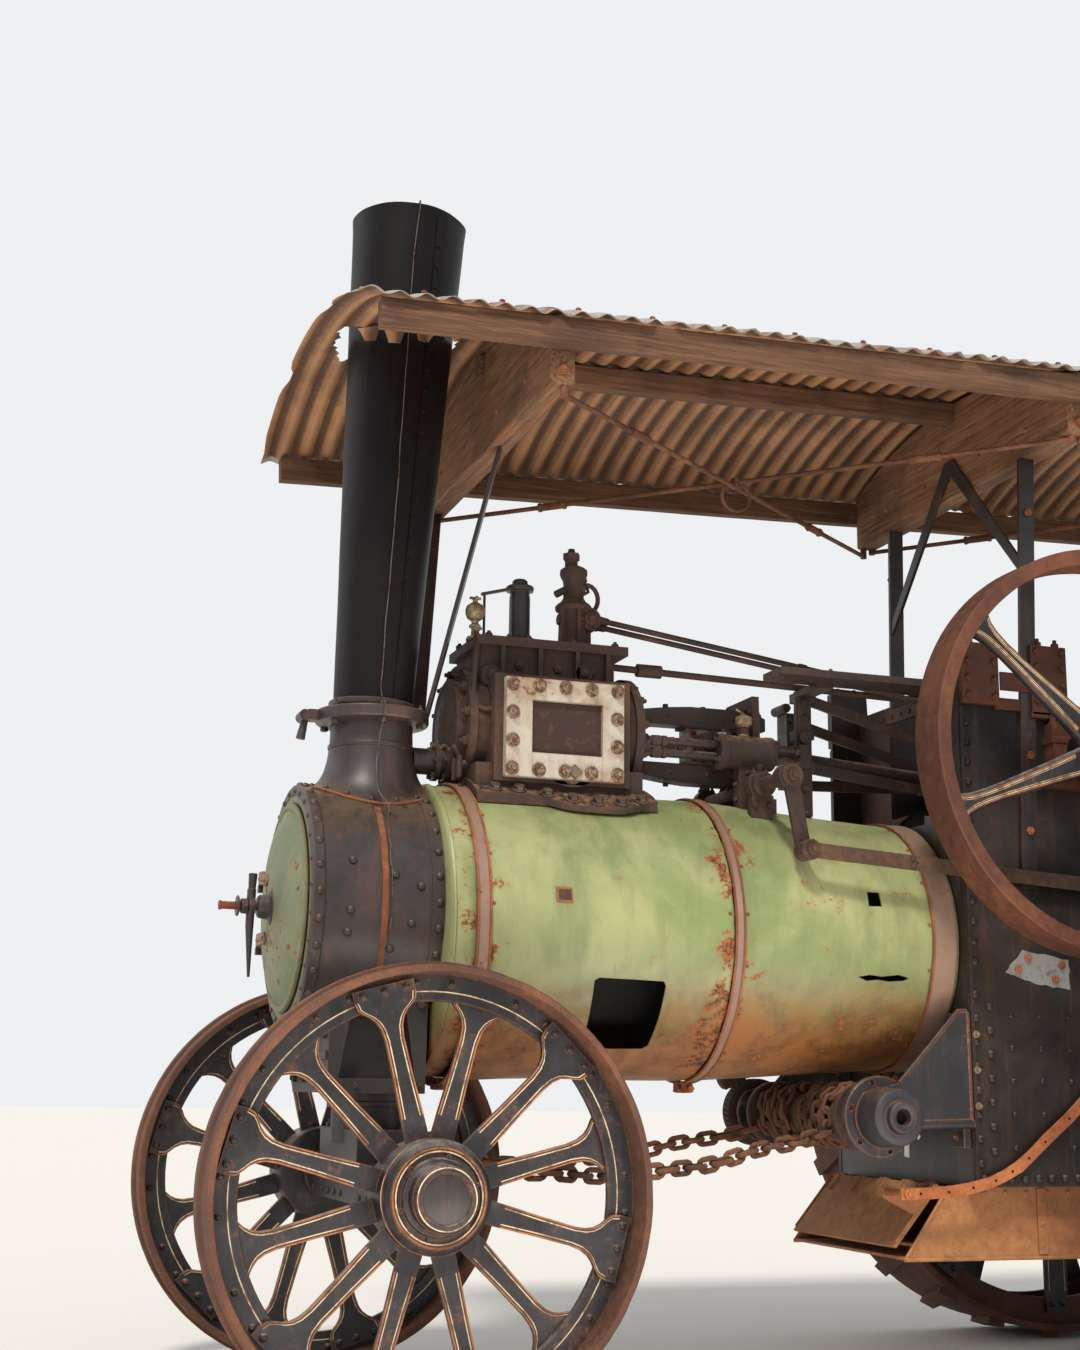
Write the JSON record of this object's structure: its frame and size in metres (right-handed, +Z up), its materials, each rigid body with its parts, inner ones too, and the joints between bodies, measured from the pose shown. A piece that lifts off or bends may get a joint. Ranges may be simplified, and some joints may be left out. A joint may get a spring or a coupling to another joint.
{
  "type": "steam traction engine",
  "caption": "Old farm traction engine: riveted boiler with green cladding, tall flared chimney, flywheel, spoked wheels and a corrugated iron canopy.",
  "frame": {"origin": "on the ground below the middle of the engine's own box", "axes": "+X forward to the chimney end, +Y to the engine's left (flywheel side), +Z up"},
  "size_m": [4.454, 2.212, 3.5713],
  "materials": {
    "rusty_iron": "dark rust over iron",
    "green_paint": "faded green paint with rust",
    "black_paint": "worn black paint with rust",
    "lined_black": "charcoal panels with cream lines",
    "band_paint": "brown band paint with rust",
    "weathered_wood": "dry weathered timber",
    "corrugated_iron": "brown stained corrugated sheet"
  },
  "bodies": {
    "engine": {"boiler_barrel": "black_paint", "cladding_front": "green_paint", "cladding_rear": "green_paint", "cladding_bands": "band_paint", "smokebox": "black_paint", "chimney_base": "black_paint", "chimney": "black_paint", "exhaust_pipe": "black_paint", "cylinder_block": "rusty_iron", "valve_chest_cover": "rusty_iron", "safety_valve": "rusty_iron", "regulator_tower": "rusty_iron", "lubricator": "rusty_iron", "regulator_rods": "rusty_iron", "slide_bars": "rusty_iron", "motion_bracket": "rusty_iron", "crosshead": "rusty_iron", "connecting_rod": "rusty_iron", "valve_gear": "rusty_iron", "reversing_shaft": "rusty_iron", "reversing_link": "rusty_iron", "crankshaft": "rusty_iron", "crank_bearings": "rusty_iron", "flywheel": "rusty_iron", "gears": "rusty_iron", "hornplate_left": "black_paint", "hornplate_right": "black_paint", "firebox": "rusty_iron", "ash_pan": "rusty_iron", "damper_rod": "rusty_iron", "steering_barrel": "rusty_iron", "steering_brackets": "black_paint", "steering_column": "rusty_iron", "steering_chain_left": "rusty_iron", "steering_chain_right": "rusty_iron", "perch_bracket": "black_paint", "rear_axle": "rusty_iron", "tender": "black_paint", "footplate": "rusty_iron", "drawbar": "rusty_iron", "canopy_sheet": "corrugated_iron", "canopy_rails": "weathered_wood", "canopy_beams": "weathered_wood", "canopy_ties": "rusty_iron", "canopy_posts": "rusty_iron", "controls": "rusty_iron"},
    "smokebox_door_leaf": {"smokebox_door": "green_paint"},
    "firehole_door_leaf": {"firehole_door": "rusty_iron"},
    "fore_carriage": {"front_axle": "black_paint"},
    "left_front_wheel": {"front_tyre_left": "rusty_iron", "front_wheel_left": "lined_black"},
    "right_front_wheel": {"front_tyre_right": "rusty_iron", "front_wheel_right": "lined_black"},
    "left_rear_wheel": {"rear_tyre_left": "rusty_iron", "rear_wheel_left": "lined_black"},
    "right_rear_wheel": {"rear_tyre_right": "rusty_iron", "rear_wheel_right": "lined_black"}
  },
  "joints": [
    {"name": "steering", "type": "hinge", "parent": "engine", "child": "fore_carriage", "pos_m": [1.637, 0, 0.59], "axis": [0, 0, 1], "range_deg": [-22, 22], "deforming": ["steering_chain_left", "steering_chain_right"]},
    {"name": "left_front_wheel_spin", "type": "hinge", "parent": "fore_carriage", "child": "left_front_wheel", "pos_m": [1.637, 0.66, 0.59], "axis": [0, 1, 0], "continuous": true},
    {"name": "right_front_wheel_spin", "type": "hinge", "parent": "fore_carriage", "child": "right_front_wheel", "pos_m": [1.637, -0.66, 0.59], "axis": [0, 1, 0], "continuous": true},
    {"name": "left_rear_wheel_spin", "type": "hinge", "parent": "engine", "child": "left_rear_wheel", "pos_m": [-1.163, 0.892, 0.87], "axis": [0, 1, 0], "continuous": true},
    {"name": "right_rear_wheel_spin", "type": "hinge", "parent": "engine", "child": "right_rear_wheel", "pos_m": [-1.163, -0.892, 0.87], "axis": [0, 1, 0], "continuous": true},
    {"name": "smokebox_door_swing", "type": "hinge", "parent": "engine", "child": "smokebox_door_leaf", "pos_m": [1.916, -0.334, 1.365], "axis": [0, 0, -1], "range_deg": [0, 95]},
    {"name": "firehole_door_swing", "type": "hinge", "parent": "engine", "child": "firehole_door_leaf", "pos_m": [-0.8355, 0.172, 1.19], "axis": [0, 0, -1], "range_deg": [0, 100]}
  ]
}
